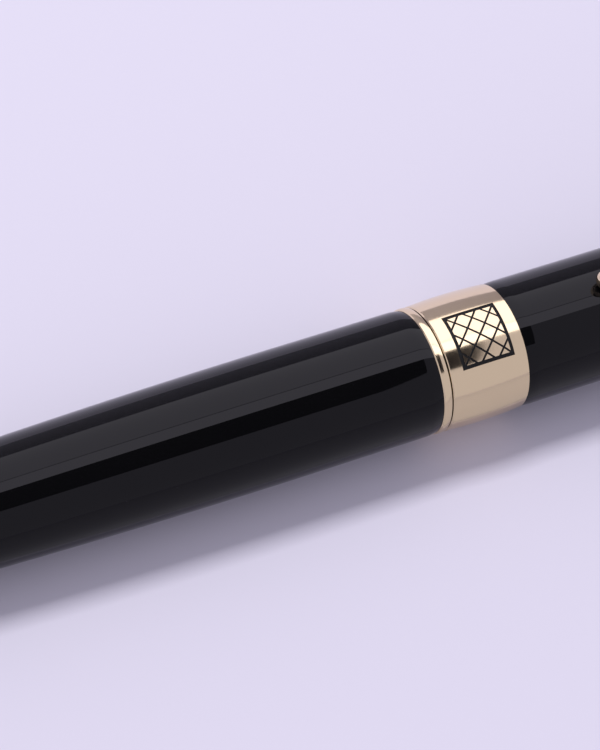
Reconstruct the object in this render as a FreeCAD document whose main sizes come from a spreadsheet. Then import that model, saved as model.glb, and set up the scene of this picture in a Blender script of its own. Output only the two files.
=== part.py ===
"""A capped rollerball pen, lying along X with its clip upwards and its cap towards +X.

Places along the pen are measured from the seam between barrel and cap, positive towards the cap's
top. Nearly every piece is turned about the pen's axis, so its outline gives places along the axis and
radii. The model stands in a frame whose origin is under the middle of the closed pen.
"""
import FreeCAD, Part
import math
import os
import re

import Sketcher

SIZES = [
    # the barrel and what is fixed in it
    ("pen_radius", 6.3, "barrel, band and cap on each side of the seam"),
    ("barrel_length", 65.6, "lacquered tube, without its rings"),
    ("barrel_straight", 12.5, "stretch of the tube beside the trim ring that has no taper"),
    ("barrel_tail_radius", 4.85, "tube at its tail end"),
    ("barrel_bore_play", 0.7, "from the refill to the bore that it lies in"),
    ("barrel_tail_wall", 2.5, "solid end of the tube behind the bore"),
    ("trim_length", 0.9, "gold ring at the mouth of the barrel"),
    ("trim_crown", 0.05, "how far the ring's middle stands proud of its edges"),
    ("barrel_mouth_wall", 1.3, "barrel and trim ring around the threaded bush"),
    ("bush_wall", 0.8, "threaded bush in the mouth of the barrel"),
    ("bush_length", 14.0, "threaded bush"),
    ("tail_ring_length", 0.9, "gold ring before the tail finial"),
    ("tail_ring_radius", 5.0, "the same ring's crown"),
    ("tail_crown", 0.08, "how far the tail ring's middle stands proud of its edges"),
    ("tail_finial_radius", 4.7, "tail finial where it meets the ring"),
    ("tail_finial_length", 5.2, "tail finial"),
    ("tail_tip_radius", 0.9, "flat spot at the finial's tip"),
    ("tail_screw_radius", 1.5, "shank of the tail screw"),
    ("tail_screw_bite", 3.0, "how far the tail screw goes into the finial"),
    ("tail_head_radius", 2.7, "head of the tail screw"),
    ("tail_head_length", 1.2, "head of the tail screw"),
    ("slot_width", 0.6, "driver slot in both screws"),
    ("slot_depth", 0.5, "driver slot in both screws"),
    # the spring and the refill
    ("spring_length", 4.3, "spring behind the refill, as pressed in the closed pen"),
    ("spring_radius", 2.2, "middle line of the spring's wire"),
    ("spring_wire_radius", 0.2, "spring's wire"),
    ("spring_turns", 4.0, "working turns"),
    ("refill_radius", 3.05, "refill tube outside"),
    ("refill_wall", 0.3, "refill tube"),
    ("plug_flange_length", 1.0, "head of the refill's rear plug"),
    ("plug_spigot_length", 3.0, "part of the rear plug inside the tube"),
    ("reservoir_gap", 4.0, "from the ink-soaked fibre rod to the refill's nose"),
    ("reservoir_slack", 0.05, "play of the fibre rod in the tube"),
    ("nose_spigot_length", 5.0, "part of the refill's nose inside the tube"),
    ("nose_taper_length", 3.0, "conical shoulder of the refill's nose"),
    ("nose_collar_length", 1.0, "straight collar before the shoulder"),
    ("wick_radius", 0.7, "feed wick"),
    ("wick_bite", 2.0, "how far the wick reaches into the fibre rod's end"),
    ("wick_tip_gap", 0.6, "from the wick's front end to the writing ball"),
    ("point_radius", 1.15, "metal point of the refill"),
    ("point_length", 5.6, "metal point in front of the shoulder"),
    ("point_root_length", 1.6, "part of the metal point inside the nose"),
    ("point_cone_length", 1.3, "conical end of the metal point"),
    ("point_mouth_radius", 0.46, "rim around the writing ball"),
    ("ball_radius", 0.35, "writing ball"),
    ("ball_play", 0.03, "play around the writing ball"),
    ("ball_stand_out", 0.2, "how far the ball stands out of its rim"),
    # the grip section
    ("thread_play", 0.05, "radial play of the section's thread in the bush"),
    ("coupler_length", 13.0, "threaded part of the coupler, behind the seam"),
    ("coupler_spigot_wall", 0.7, "part of the coupler inside the grip"),
    ("coupler_spigot_length", 10.0, "part of the coupler inside the grip"),
    ("refill_play", 0.15, "radial play of the refill in the section and its nose"),
    ("shoulder_gap", 0.05, "between the grip's shoulder and the barrel's mouth"),
    ("grip_front_radius", 4.35, "grip at its front end"),
    ("grip_length", 36.0, "grip"),
    ("grip_straight", 12.0, "straight rear stretch of the grip"),
    ("front_ring_radius", 4.45, "gold ring in front of the grip"),
    ("front_ring_length", 1.2, "gold ring in front of the grip"),
    ("cone_radius", 4.3, "nose cone at its back"),
    ("nose_inset", 2.25, "from the gold ring on to the shoulder that the refill's nose seats on"),
    ("cone_overhang", 2.0, "how far the nose cone reaches over the refill's metal point"),
    ("cone_tip_radius", 1.75, "nose cone at its front"),
    ("snap_groove_place", 3.0, "from the seam to the snap ring's groove"),
    ("snap_ring_length", 1.1, "snap ring along the pen"),
    ("snap_ring_thickness", 0.42, "snap ring radially"),
    ("snap_ring_proud", 0.08, "how far the snap ring stands out of the grip"),
    ("snap_play", 0.05, "play of the snap ring in its groove"),
    ("snap_ring_opening", 24.0, "gap of the split snap ring, in degrees"),
    # the cap
    ("seam_gap", 0.1, "between the barrel's ring and the cap's mouth"),
    ("band_length", 8.3, "gold band at the cap's mouth"),
    ("band_wall", 0.55, "band and cap tube around the inner cap at its mouth"),
    ("band_crown", 0.16, "how far the band's middle stands proud of its edges"),
    ("cap_straight", 12.0, "stretch of the cap beside the band that has no taper"),
    ("cap_top_radius", 5.6, "cap tube at its top end"),
    ("liner_wall", 0.4, "inner cap at its mouth"),
    ("cap_play", 0.15, "from the grip to the inner cap around it"),
    ("liner_recess", 0.3, "from the band's edge in to the inner cap's edge"),
    ("liner_step_back", 2.15, "from the grip's front end back to the inner cap's step"),
    ("liner_narrow_wall", 0.45, "inner cap beyond its step"),
    ("liner_narrow_play", 0.4, "from the section's front ring to the inner cap around it"),
    ("tip_room", 4.7, "from the writing ball to the screw in the end of the cap"),
    ("liner_end_wall", 1.2, "closed end of the inner cap"),
    ("top_plug_radius", 4.2, "metal plug in the cap's top"),
    ("top_plug_length", 4.6, "metal plug in the cap's top"),
    ("clip_ring_radius", 5.75, "gold ring that the clip grows from"),
    ("clip_ring_length", 1.2, "gold ring that the clip grows from"),
    ("cap_finial_radius", 5.45, "cap finial where it meets the clip ring"),
    ("cap_finial_length", 5.8, "cap finial"),
    ("cap_tip_radius", 1.2, "flat spot at the finial's tip"),
    ("finial_screw_bite", 3.6, "how far the finial screw goes into the finial"),
    ("finial_screw_radius", 1.5, "shank of the finial screw"),
    ("finial_head_radius", 2.8, "head of the finial screw"),
    ("finial_head_length", 1.2, "head of the finial screw"),
    # the enamel lattice in the band
    ("inlay_side", 5.6, "square lattice, along and across the pen"),
    ("inlay_line", 0.34, "line of the square's frame"),
    ("lattice_line", 0.2, "line of the slanting bars"),
    ("lattice_cells", 3.0, "cells of the lattice along a side"),
    ("inlay_depth", 0.15, "depth of the enamel"),
    ("inlay_turn", 9.3, "from the clip round to the middle of the enamel, in degrees"),
    # the clip
    ("clip_ball_radius", 1.0, "ball at the clip's free end"),
    ("clip_ball_gap", 0.06, "between the clip's ball and the cap"),
    ("clip_reach", 9.0, "from the band to the ball's end"),
    ("clip_arm_thickness", 0.9, "clip's arm at its root"),
    ("clip_tip_thickness", 0.7, "clip's arm at its ball"),
    ("clip_root_width", 3.8, "clip's arm at its root"),
    ("clip_tip_width", 1.3, "clip's arm at its ball"),
    ("clip_lift", 2.3, "underside of the clip's root above the cap's top end"),
    ("clip_root_gap", 0.08, "between the arm's end and the tab that carries it"),
    ("clip_arch", 0.5, "how far the clip's arm arches up"),
]

# Places along the pen.
TRIM_BACK = "-trim_length"
BARREL_BACK = "-(trim_length + barrel_length)"
TAPER_START = "-(trim_length + barrel_straight)"
BORE_END = "-(trim_length + barrel_length - barrel_tail_wall)"
TAIL_RING_BACK = "-(trim_length + barrel_length + tail_ring_length)"
TAIL_TIP = "-(trim_length + barrel_length + tail_ring_length + tail_finial_length)"
TAIL_SCREW_END = "-(trim_length + barrel_length + tail_ring_length + tail_screw_bite)"
TAIL_HEAD_FRONT = "-(trim_length + barrel_length - barrel_tail_wall - tail_head_length)"
REFILL_BACK = f"({TAIL_HEAD_FRONT} + spring_length)"
REFILL_TUBE_BACK = f"({REFILL_BACK} + plug_flange_length)"
GRIP_FRONT = "(shoulder_gap + grip_length)"
FRONT_RING_FRONT = "(shoulder_gap + grip_length + front_ring_length)"
NOSE_SHOULDER = f"({FRONT_RING_FRONT} + nose_inset)"
REFILL_TUBE_FRONT = f"({NOSE_SHOULDER} - nose_collar_length)"
NOSE_FRONT = f"({NOSE_SHOULDER} + nose_taper_length)"
POINT_FRONT = f"({NOSE_FRONT} + point_length)"
BALL_CENTRE = f"({POINT_FRONT} + ball_stand_out - ball_radius)"
RESERVOIR_BACK = f"({REFILL_TUBE_BACK} + plug_spigot_length)"
RESERVOIR_FRONT = f"({REFILL_TUBE_FRONT} - nose_spigot_length - reservoir_gap)"
CONE_FRONT = f"({NOSE_FRONT} + cone_overhang)"
SNAP_BACK = "snap_groove_place"
SNAP_FRONT = "(snap_groove_place + snap_ring_length)"
BAND_END = "(seam_gap + band_length)"
LINER_MOUTH = "(seam_gap + liner_recess)"
LINER_STEP = f"({GRIP_FRONT} - liner_step_back)"
LINER_FLOOR = f"({POINT_FRONT} + ball_stand_out + tip_room + finial_head_length)"
LINER_END = f"({LINER_FLOOR} + liner_end_wall)"
CAP_TUBE_END = f"({LINER_END} + top_plug_length)"
CLIP_RING_END = f"({CAP_TUBE_END} + clip_ring_length)"
CAP_TIP = f"({CLIP_RING_END} + cap_finial_length)"
FINIAL_SCREW_END = f"({CLIP_RING_END} + finial_screw_bite)"

# Radii that follow from a wall or a fit, from the outside of the pen inwards and from the refill out.
BUSH_RADIUS = "(pen_radius - barrel_mouth_wall)"
THREAD_RADIUS = "(pen_radius - barrel_mouth_wall - bush_wall)"
LINER_RADIUS = "(pen_radius - band_wall)"
LINER_BORE = "(pen_radius - band_wall - liner_wall)"
GRIP_RADIUS = "(pen_radius - band_wall - liner_wall - cap_play)"
NARROW_BORE = "(front_ring_radius + liner_narrow_play)"
NARROW_RADIUS = "(front_ring_radius + liner_narrow_play + liner_narrow_wall)"
BARREL_BORE = "(refill_radius + barrel_bore_play)"
COUPLER_RADIUS = f"({THREAD_RADIUS} - thread_play)"
REFILL_SEAT = "(refill_radius + refill_play)"
POINT_SEAT = "(point_radius + refill_play)"
REFILL_BORE = "(refill_radius - refill_wall)"
SPIGOT_RADIUS = "(refill_radius + refill_play + coupler_spigot_wall)"
SNAP_OUTSIDE = f"({GRIP_RADIUS} + snap_ring_proud)"
SNAP_INSIDE = f"({GRIP_RADIUS} + snap_ring_proud - snap_ring_thickness)"
BAND_MIDDLE = f"({BAND_END} - band_length / 2)"
BALL_HEIGHT = "(pen_radius + clip_ball_gap + clip_ball_radius)"
CLIP_UNDERSIDE = "(cap_top_radius + clip_lift)"

# The pen's frame: its axis lies one band radius above the floor, its middle above the origin.
SEAM_PLACE = f"-({CAP_TIP} + ({TAIL_TIP})) / 2"
AXIS_HEIGHT = "(pen_radius + band_crown)"

doc = FreeCAD.newDocument("rollerball_pen")
sheet = doc.addObject("Spreadsheet::Sheet", "sizes")


def fill_sheet():
    for row, (name, size, words) in enumerate(SIZES, start=1):
        sheet.set(f"A{row}", str(size))
        sheet.setAlias(f"A{row}", name)
        sheet.set(f"B{row}", words)
    doc.recompute()


def bound(formula):
    """A formula of size names, such as "band_length / 2", in the words of FreeCAD's expressions."""
    return re.sub(r"\b[a-z_]+\b(?!\()", lambda name: "sizes." + name[0], formula)


def value(formula):
    return float(sheet.evalExpression(bound(formula)))


def place(item, along="0", height="0"):
    """Puts a piece, drawn about the seam and the pen's axis, into the pen's frame."""
    item.setExpression("Placement.Base.x", bound(f"{SEAM_PLACE} + {along}"))
    item.setExpression("Placement.Base.z", bound(f"{AXIS_HEIGHT} + {height}"))


def plane_sketch(body, name, role, offset=None):
    """A sketch on one of the body's own origin planes, moved off it by a formula if one is given."""
    sketch = body.newObject("Sketcher::SketchObject", name)
    plane = next(item for item in body.Origin.OriginFeatures if item.Role == role)
    sketch.AttachmentSupport = [(plane, "")]
    sketch.MapMode = "FlatFace"
    if offset:
        sketch.setExpression("AttachmentOffset.Base.z", bound(offset))
    return sketch


def bulge_point(start, end, radius):
    """The middle of the arc between two points: a positive radius bulges away from the pen's axis."""
    chord = end - start
    sagitta = abs(radius) - math.sqrt(radius ** 2 - chord.Length ** 2 / 4)
    across = FreeCAD.Vector(-chord.y, chord.x, 0).normalize()
    side = math.copysign(1, across.y) * math.copysign(1, radius)
    return (start + end) / 2 + across * side * sagitta


def fix_corner(sketch, edge, end, corner):
    """Ties one end of an edge to its two formulas; the formula 0 puts it on the sketch's axis."""
    for kind, formula, axis in (("DistanceX", corner[0], -2), ("DistanceY", corner[1], -1)):
        if formula == "0":
            sketch.addConstraint(Sketcher.Constraint("PointOnObject", edge, end, axis))
        else:
            measure = Sketcher.Constraint(kind, -1, 1, edge, end, value(formula))
            number = sketch.addConstraint(measure)
            sketch.setExpression(f"Constraints[{number}]", bound(formula))


def draw_outline(sketch, corners, arcs=None):
    """A closed outline through corners given as formulas; arcs maps a corner's number to the radius of
    the arc that leaves it."""
    arcs = arcs or {}
    spots = [FreeCAD.Vector(value(along), value(across), 0) for along, across in corners]
    first_edge = sketch.GeometryCount
    starts = []
    for number, spot in enumerate(spots):
        after = spots[(number + 1) % len(spots)]
        if number in arcs:
            middle = bulge_point(spot, after, value(arcs[number]))
            edge = sketch.addGeometry(Part.Arc(spot, middle, after), False)
        else:
            edge = sketch.addGeometry(Part.LineSegment(spot, after), False)
        turned_round = sketch.getPoint(edge, 1).distanceToPoint(spot) > sketch.getPoint(
            edge, 2
        ).distanceToPoint(spot)
        starts.append(2 if turned_round else 1)
    for number, corner in enumerate(corners):
        edge = first_edge + number
        after = (number + 1) % len(corners)
        meeting = (edge, 3 - starts[number], first_edge + after, starts[after])
        sketch.addConstraint(Sketcher.Constraint("Coincident", *meeting))
        fix_corner(sketch, edge, starts[number], corner)
        if number in arcs:
            size = abs(value(arcs[number]))
            tie = sketch.addConstraint(Sketcher.Constraint("Radius", edge, size))
            sketch.setExpression(f"Constraints[{tie}]", bound(f"abs({arcs[number]})"))


def turn(name, corners, arcs=None, angle=None):
    """A piece turned about the pen's axis from an outline of (place along the pen, radius) corners."""
    body = doc.addObject("PartDesign::Body", name)
    sketch = plane_sketch(body, name + "_outline", "XY_Plane")
    draw_outline(sketch, corners, arcs)
    turned = body.newObject("PartDesign::Revolution", name + "_turned")
    turned.Profile = sketch
    turned.ReferenceAxis = (sketch, ["H_Axis"])
    turned.Angle = 360
    if angle:
        turned.setExpression("Angle", bound(angle))
    sketch.Visibility = False
    place(body)
    doc.recompute()
    return body


def sleeve(back, front, inside, outside):
    """The outline of a plain tube, washer or, with an inside of 0, rod."""
    return [(back, inside), (back, outside), (front, outside), (front, inside)]


def crown_radius(length, rise):
    """Radius of the arc that rises by a given height over its whole length."""
    return f"((({length}) ^ 2 / 4 + ({rise}) ^ 2) / (2 * ({rise})))"


def taper_radius(length, fall):
    """Radius of the arc that starts level and falls by a given height over its length."""
    return f"((({length}) ^ 2 + ({fall}) ^ 2) / (2 * ({fall})))"


def slotted_screw(name, outline, face, head_radius, cut_up):
    """A turned screw with a driver slot across its head. The slot starts in the plane of the head's
    outer face and is cut along +X or, where cut_up is false, along -X."""
    screw = turn(name, outline)
    whole = screw.Shape.Volume
    sketch = plane_sketch(screw, name + "_slot_outline", "YZ_Plane", face)
    reach = f"({head_radius} + slot_width)"
    draw_outline(
        sketch,
        [
            (f"-{reach}", "-slot_width / 2"),
            (reach, "-slot_width / 2"),
            (reach, "slot_width / 2"),
            (f"-{reach}", "slot_width / 2"),
        ],
    )
    doc.recompute()
    slot = screw.newObject("PartDesign::Pocket", name + "_slot")
    slot.Profile = sketch
    slot.setExpression("Length", bound("slot_depth"))
    slot.Reversed = cut_up
    sketch.Visibility = False
    doc.recompute()
    if screw.Shape.Volume >= whole:
        raise RuntimeError(f"the slot of {name} cuts nothing")
    return screw


def barrel_pieces():
    turn(
        "barrel_tube",
        [
            (TRIM_BACK, BUSH_RADIUS),
            (TRIM_BACK, "pen_radius"),
            (TAPER_START, "pen_radius"),
            (BARREL_BACK, "barrel_tail_radius"),
            (BARREL_BACK, "tail_screw_radius"),
            (BORE_END, "tail_screw_radius"),
            (BORE_END, BARREL_BORE),
            ("-bush_length", BARREL_BORE),
            ("-bush_length", BUSH_RADIUS),
        ],
        {2: taper_radius("barrel_length - barrel_straight", "pen_radius - barrel_tail_radius")},
    )
    turn(
        "barrel_trim_ring",
        sleeve(TRIM_BACK, "0", BUSH_RADIUS, "pen_radius"),
        {1: crown_radius("trim_length", "trim_crown")},
    )
    turn("thread_bush", sleeve("-bush_length", "0", THREAD_RADIUS, BUSH_RADIUS))
    tail_edge = "(tail_ring_radius - tail_crown)"
    turn(
        "tail_ring",
        sleeve(TAIL_RING_BACK, BARREL_BACK, "tail_screw_radius", tail_edge),
        {1: crown_radius("tail_ring_length", "tail_crown")},
    )
    turn(
        "tail_finial",
        [
            (TAIL_RING_BACK, "tail_screw_radius"),
            (TAIL_RING_BACK, "tail_finial_radius"),
            (TAIL_TIP, "tail_tip_radius"),
            (TAIL_TIP, "0"),
            (TAIL_SCREW_END, "0"),
            (TAIL_SCREW_END, "tail_screw_radius"),
        ],
        {1: taper_radius("tail_finial_length", "tail_finial_radius - tail_tip_radius")},
    )
    slotted_screw(
        "tail_screw",
        [
            (TAIL_SCREW_END, "0"),
            (TAIL_SCREW_END, "tail_screw_radius"),
            (BORE_END, "tail_screw_radius"),
            (BORE_END, "tail_head_radius"),
            (TAIL_HEAD_FRONT, "tail_head_radius"),
            (TAIL_HEAD_FRONT, "0"),
        ],
        TAIL_HEAD_FRONT,
        "tail_head_radius",
        cut_up=False,
    )


def refill_spring():
    """The spring between the tail screw's head and the refill. Each half turn is an arc in a plane that
    is tilted a little, so that it runs on into the next. No feature draws such a path, so Part's own
    functions do, from the sheet."""
    wire_radius = value("spring_wire_radius")
    radius = value("spring_radius")
    halves = round(2 * value("spring_turns"))
    step = (value("spring_length") - 2 * wire_radius) / halves
    crest = radius / math.cos(math.atan2(step, 2 * radius))
    arcs = []
    for number in range(halves):
        side = 1 if number % 2 == 0 else -1
        start = FreeCAD.Vector(wire_radius + number * step, side * radius, 0)
        middle = FreeCAD.Vector(wire_radius + (number + 0.5) * step, 0, side * crest)
        end = FreeCAD.Vector(wire_radius + (number + 1) * step, -side * radius, 0)
        arcs.append(Part.Arc(start, middle, end).toShape())
    first = FreeCAD.Vector(wire_radius, radius, 0)
    ring = Part.Wire([Part.makeCircle(wire_radius, first, FreeCAD.Vector(0, 0, 1))])
    spring = doc.addObject("Part::Feature", "refill_spring")
    spring.Shape = Part.Wire(arcs).makePipeShell([ring], True, False)
    place(spring, TAIL_HEAD_FRONT)


def refill_pieces():
    turn("refill_tube", sleeve(REFILL_TUBE_BACK, REFILL_TUBE_FRONT, REFILL_BORE, "refill_radius"))
    turn(
        "refill_end_plug",
        [
            (REFILL_BACK, "0"),
            (REFILL_BACK, "refill_radius"),
            (REFILL_TUBE_BACK, "refill_radius"),
            (REFILL_TUBE_BACK, REFILL_BORE),
            (RESERVOIR_BACK, REFILL_BORE),
            (RESERVOIR_BACK, "0"),
        ],
    )
    rod = f"({REFILL_BORE} - reservoir_slack)"
    socket = f"({RESERVOIR_FRONT} - wick_bite)"
    turn(
        "ink_reservoir",
        [
            (RESERVOIR_BACK, "0"),
            (RESERVOIR_BACK, rod),
            (RESERVOIR_FRONT, rod),
            (RESERVOIR_FRONT, "wick_radius"),
            (socket, "wick_radius"),
            (socket, "0"),
        ],
    )
    turn("feed_wick", sleeve(socket, f"({BALL_CENTRE} - ball_radius - wick_tip_gap)", "0", "wick_radius"))
    point_back = f"({NOSE_FRONT} - point_root_length)"
    turn(
        "refill_nose",
        [
            (f"({REFILL_TUBE_FRONT} - nose_spigot_length)", "wick_radius"),
            (f"({REFILL_TUBE_FRONT} - nose_spigot_length)", REFILL_BORE),
            (REFILL_TUBE_FRONT, REFILL_BORE),
            (REFILL_TUBE_FRONT, "refill_radius"),
            (NOSE_SHOULDER, "refill_radius"),
            (NOSE_FRONT, "point_radius"),
            (NOSE_FRONT, "(point_radius - refill_wall)"),
            (point_back, "(point_radius - refill_wall)"),
            (point_back, "wick_radius"),
        ],
    )
    seat = "(ball_radius + ball_play)"
    turn(
        "refill_point",
        [
            (point_back, "wick_radius"),
            (point_back, "(point_radius - refill_wall)"),
            (NOSE_FRONT, "(point_radius - refill_wall)"),
            (NOSE_FRONT, "point_radius"),
            (f"({POINT_FRONT} - point_cone_length)", "point_radius"),
            (POINT_FRONT, "point_mouth_radius"),
            (POINT_FRONT, seat),
            (f"({BALL_CENTRE} - {seat})", seat),
            (f"({BALL_CENTRE} - {seat} - ball_radius)", "wick_radius"),
        ],
    )
    ball = doc.addObject("Part::Sphere", "writing_ball")
    ball.setExpression("Radius", bound("ball_radius"))
    place(ball, BALL_CENTRE)


def section_pieces():
    turn(
        "section_coupler",
        [
            ("-coupler_length", REFILL_SEAT),
            ("-coupler_length", COUPLER_RADIUS),
            ("shoulder_gap", COUPLER_RADIUS),
            ("shoulder_gap", SPIGOT_RADIUS),
            ("coupler_spigot_length", SPIGOT_RADIUS),
            ("coupler_spigot_length", REFILL_SEAT),
        ],
    )
    groove_bottom = f"({SNAP_INSIDE} - snap_play)"
    groove_back = f"({SNAP_BACK} - snap_play)"
    groove_front = f"({SNAP_FRONT} + snap_play)"
    turn(
        "grip_section",
        [
            ("shoulder_gap", SPIGOT_RADIUS),
            ("shoulder_gap", GRIP_RADIUS),
            (groove_back, GRIP_RADIUS),
            (groove_back, groove_bottom),
            (groove_front, groove_bottom),
            (groove_front, GRIP_RADIUS),
            ("grip_straight", GRIP_RADIUS),
            (GRIP_FRONT, "grip_front_radius"),
            (GRIP_FRONT, REFILL_SEAT),
            ("coupler_spigot_length", REFILL_SEAT),
            ("coupler_spigot_length", SPIGOT_RADIUS),
        ],
        {6: taper_radius(f"{GRIP_FRONT} - grip_straight", f"{GRIP_RADIUS} - grip_front_radius")},
    )
    turn(
        "section_front_ring",
        sleeve(GRIP_FRONT, FRONT_RING_FRONT, REFILL_SEAT, "front_ring_radius"),
    )
    turn(
        "nose_cone",
        [
            (FRONT_RING_FRONT, REFILL_SEAT),
            (FRONT_RING_FRONT, "cone_radius"),
            (CONE_FRONT, "cone_tip_radius"),
            (CONE_FRONT, POINT_SEAT),
            (f"({NOSE_FRONT} + refill_play)", POINT_SEAT),
            (f"({NOSE_SHOULDER} + refill_play)", REFILL_SEAT),
        ],
    )


def snap_ring():
    turn(
        "snap_ring",
        sleeve(SNAP_BACK, SNAP_FRONT, SNAP_INSIDE, SNAP_OUTSIDE),
        angle="360 - snap_ring_opening",
    )


def lattice(name):
    """A square frame with slanting bars across it, reaching from the pen's axis out of the band and
    turned a little from the clip. Its bars repeat, so Part's own functions draw it from the sheet."""
    side = value("inlay_side")
    tall = 2 * value("pen_radius")
    opening = side - 2 * value("inlay_line")
    plate = Part.makeBox(side, side, tall, FreeCAD.Vector(-side / 2, -side / 2, 0))
    window = Part.makeBox(opening, opening, tall, FreeCAD.Vector(-opening / 2, -opening / 2, 0))
    line = value("lattice_line")
    cells = round(value("lattice_cells"))
    bars = []
    for number in range(-cells + 1, cells):
        for slope in (45, -45):
            bar = Part.makeBox(2 * side, line, tall, FreeCAD.Vector(-side, -line / 2, 0))
            bar.rotate(FreeCAD.Vector(), FreeCAD.Vector(0, 0, 1), slope)
            bar.translate(FreeCAD.Vector(0, number * side / cells, 0))
            bars.append(bar.common(window))
    drawn = doc.addObject("Part::Feature", name)
    drawn.Shape = plate.cut(window).fuse(bars).removeSplitter()
    place(drawn, BAND_MIDDLE)
    drawn.Placement.Rotation = FreeCAD.Rotation(FreeCAD.Vector(1, 0, 0), value("inlay_turn"))
    return drawn


def band_pieces():
    """The gold band and the enamel that fills the engraving in its top."""
    mouth_to_edge = sleeve("seam_gap", BAND_END, LINER_RADIUS, "pen_radius")
    crown = {1: crown_radius("band_length", "band_crown")}
    blank = turn("band_blank", mouth_to_edge, crown)
    under = "(pen_radius - inlay_depth)"
    skin = turn("enamel_skin", sleeve("seam_gap", BAND_END, under, "pen_radius"), crown)
    engraving = lattice("lattice")
    inlay = doc.addObject("Part::Common", "band_inlay")
    inlay.Base = skin
    inlay.Tool = engraving
    band = doc.addObject("Part::Cut", "cap_band")
    band.Base = blank
    band.Tool = inlay
    doc.recompute()
    if band.Shape.Volume >= blank.Shape.Volume:
        raise RuntimeError("the engraving cuts nothing")


def cap_pieces():
    turn(
        "cap_tube",
        [
            (BAND_END, LINER_RADIUS),
            (BAND_END, "pen_radius"),
            (f"({BAND_END} + cap_straight)", "pen_radius"),
            (CAP_TUBE_END, "cap_top_radius"),
            (CAP_TUBE_END, "top_plug_radius"),
            (LINER_END, "top_plug_radius"),
            (LINER_END, NARROW_RADIUS),
            (LINER_STEP, NARROW_RADIUS),
            (LINER_STEP, LINER_RADIUS),
        ],
        {2: taper_radius(f"{CAP_TUBE_END} - {BAND_END} - cap_straight", "pen_radius - cap_top_radius")},
    )
    turn(
        "inner_cap",
        [
            (LINER_MOUTH, LINER_BORE),
            (LINER_MOUTH, LINER_RADIUS),
            (LINER_STEP, LINER_RADIUS),
            (LINER_STEP, NARROW_RADIUS),
            (LINER_END, NARROW_RADIUS),
            (LINER_END, "finial_screw_radius"),
            (LINER_FLOOR, "finial_screw_radius"),
            (LINER_FLOOR, NARROW_BORE),
            (f"({LINER_STEP} - liner_end_wall)", NARROW_BORE),
            (f"({LINER_STEP} - liner_end_wall)", LINER_BORE),
        ],
    )
    turn("cap_end_plug", sleeve(LINER_END, CAP_TUBE_END, "finial_screw_radius", "top_plug_radius"))
    turn(
        "cap_finial",
        [
            (CLIP_RING_END, "finial_screw_radius"),
            (CLIP_RING_END, "cap_finial_radius"),
            (CAP_TIP, "cap_tip_radius"),
            (CAP_TIP, "0"),
            (FINIAL_SCREW_END, "0"),
            (FINIAL_SCREW_END, "finial_screw_radius"),
        ],
        {1: taper_radius("cap_finial_length", "cap_finial_radius - cap_tip_radius")},
    )
    head_back = f"({LINER_FLOOR} - finial_head_length)"
    slotted_screw(
        "finial_screw",
        [
            (head_back, "0"),
            (head_back, "finial_head_radius"),
            (LINER_FLOOR, "finial_head_radius"),
            (LINER_FLOOR, "finial_screw_radius"),
            (FINIAL_SCREW_END, "finial_screw_radius"),
            (FINIAL_SCREW_END, "0"),
        ],
        head_back,
        "finial_head_radius",
        cut_up=True,
    )


def clip_ring():
    """The ring under the cap's finial, with the tab that carries the clip's arm."""
    ring = turn("clip_ring", sleeve(CAP_TUBE_END, CLIP_RING_END, "finial_screw_radius", "clip_ring_radius"))
    sketch = plane_sketch(ring, "tab_outline", "YZ_Plane", CAP_TUBE_END)
    half_width = "clip_root_width / 2"
    tab_foot = "(clip_ring_radius - clip_arm_thickness)"
    tab_top = f"({CLIP_UNDERSIDE} + clip_arm_thickness)"
    draw_outline(
        sketch,
        [
            (f"-{half_width}", tab_foot),
            (half_width, tab_foot),
            (half_width, tab_top),
            (f"-{half_width}", tab_top),
        ],
    )
    tab = ring.newObject("PartDesign::Pad", "clip_tab")
    tab.Profile = sketch
    tab.setExpression("Length", bound("clip_ring_length"))
    sketch.Visibility = False
    doc.recompute()
    return ring


def clip_arm():
    """The arm runs from the tab to the ball beside the band: a side view and a plan view, each drawn in
    a plane through the pen's axis, have the arm in common."""
    ball_place = f"({BAND_END} + clip_reach + clip_ball_radius)"
    root = f"({CAP_TUBE_END} - clip_root_gap)"
    span = f"({root} - {ball_place})"
    side_view = doc.addObject("PartDesign::Body", "clip_side_view")
    side_sketch = plane_sketch(side_view, "clip_side_outline", "XZ_Plane")
    draw_outline(
        side_sketch,
        [
            (ball_place, f"({BALL_HEIGHT} - clip_tip_thickness / 2)"),
            (ball_place, f"({BALL_HEIGHT} + clip_tip_thickness / 2)"),
            (root, f"({CLIP_UNDERSIDE} + clip_arm_thickness)"),
            (root, CLIP_UNDERSIDE),
        ],
        {
            1: crown_radius(span, "clip_arch"),
            3: crown_radius(span, "clip_arch"),
        },
    )
    side_pad = side_view.newObject("PartDesign::Pad", "clip_side")
    side_pad.Profile = side_sketch
    side_pad.setExpression("Length", bound("2 * clip_root_width"))
    side_pad.Midplane = True
    plan_view = doc.addObject("PartDesign::Body", "clip_plan_view")
    plan_sketch = plane_sketch(plan_view, "clip_plan_outline", "XY_Plane")
    draw_outline(
        plan_sketch,
        [
            (ball_place, "-clip_tip_width / 2"),
            (ball_place, "clip_tip_width / 2"),
            (root, "clip_root_width / 2"),
            (root, "-clip_root_width / 2"),
        ],
    )
    plan_pad = plan_view.newObject("PartDesign::Pad", "clip_plan")
    plan_pad.Profile = plan_sketch
    plan_pad.setExpression("Length", bound(f"2 * ({CLIP_UNDERSIDE} + clip_arm_thickness + clip_arch)"))
    for view in (side_view, plan_view):
        place(view)
    bar = doc.addObject("Part::Common", "clip_bar")
    bar.Base = side_view
    bar.Tool = plan_view
    ball = doc.addObject("Part::Sphere", "clip_ball")
    ball.setExpression("Radius", bound("clip_ball_radius"))
    place(ball, ball_place, BALL_HEIGHT)
    arm = doc.addObject("Part::Fuse", "clip_arm")
    arm.Base = bar
    arm.Tool = ball
    doc.recompute()
    return arm


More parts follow.
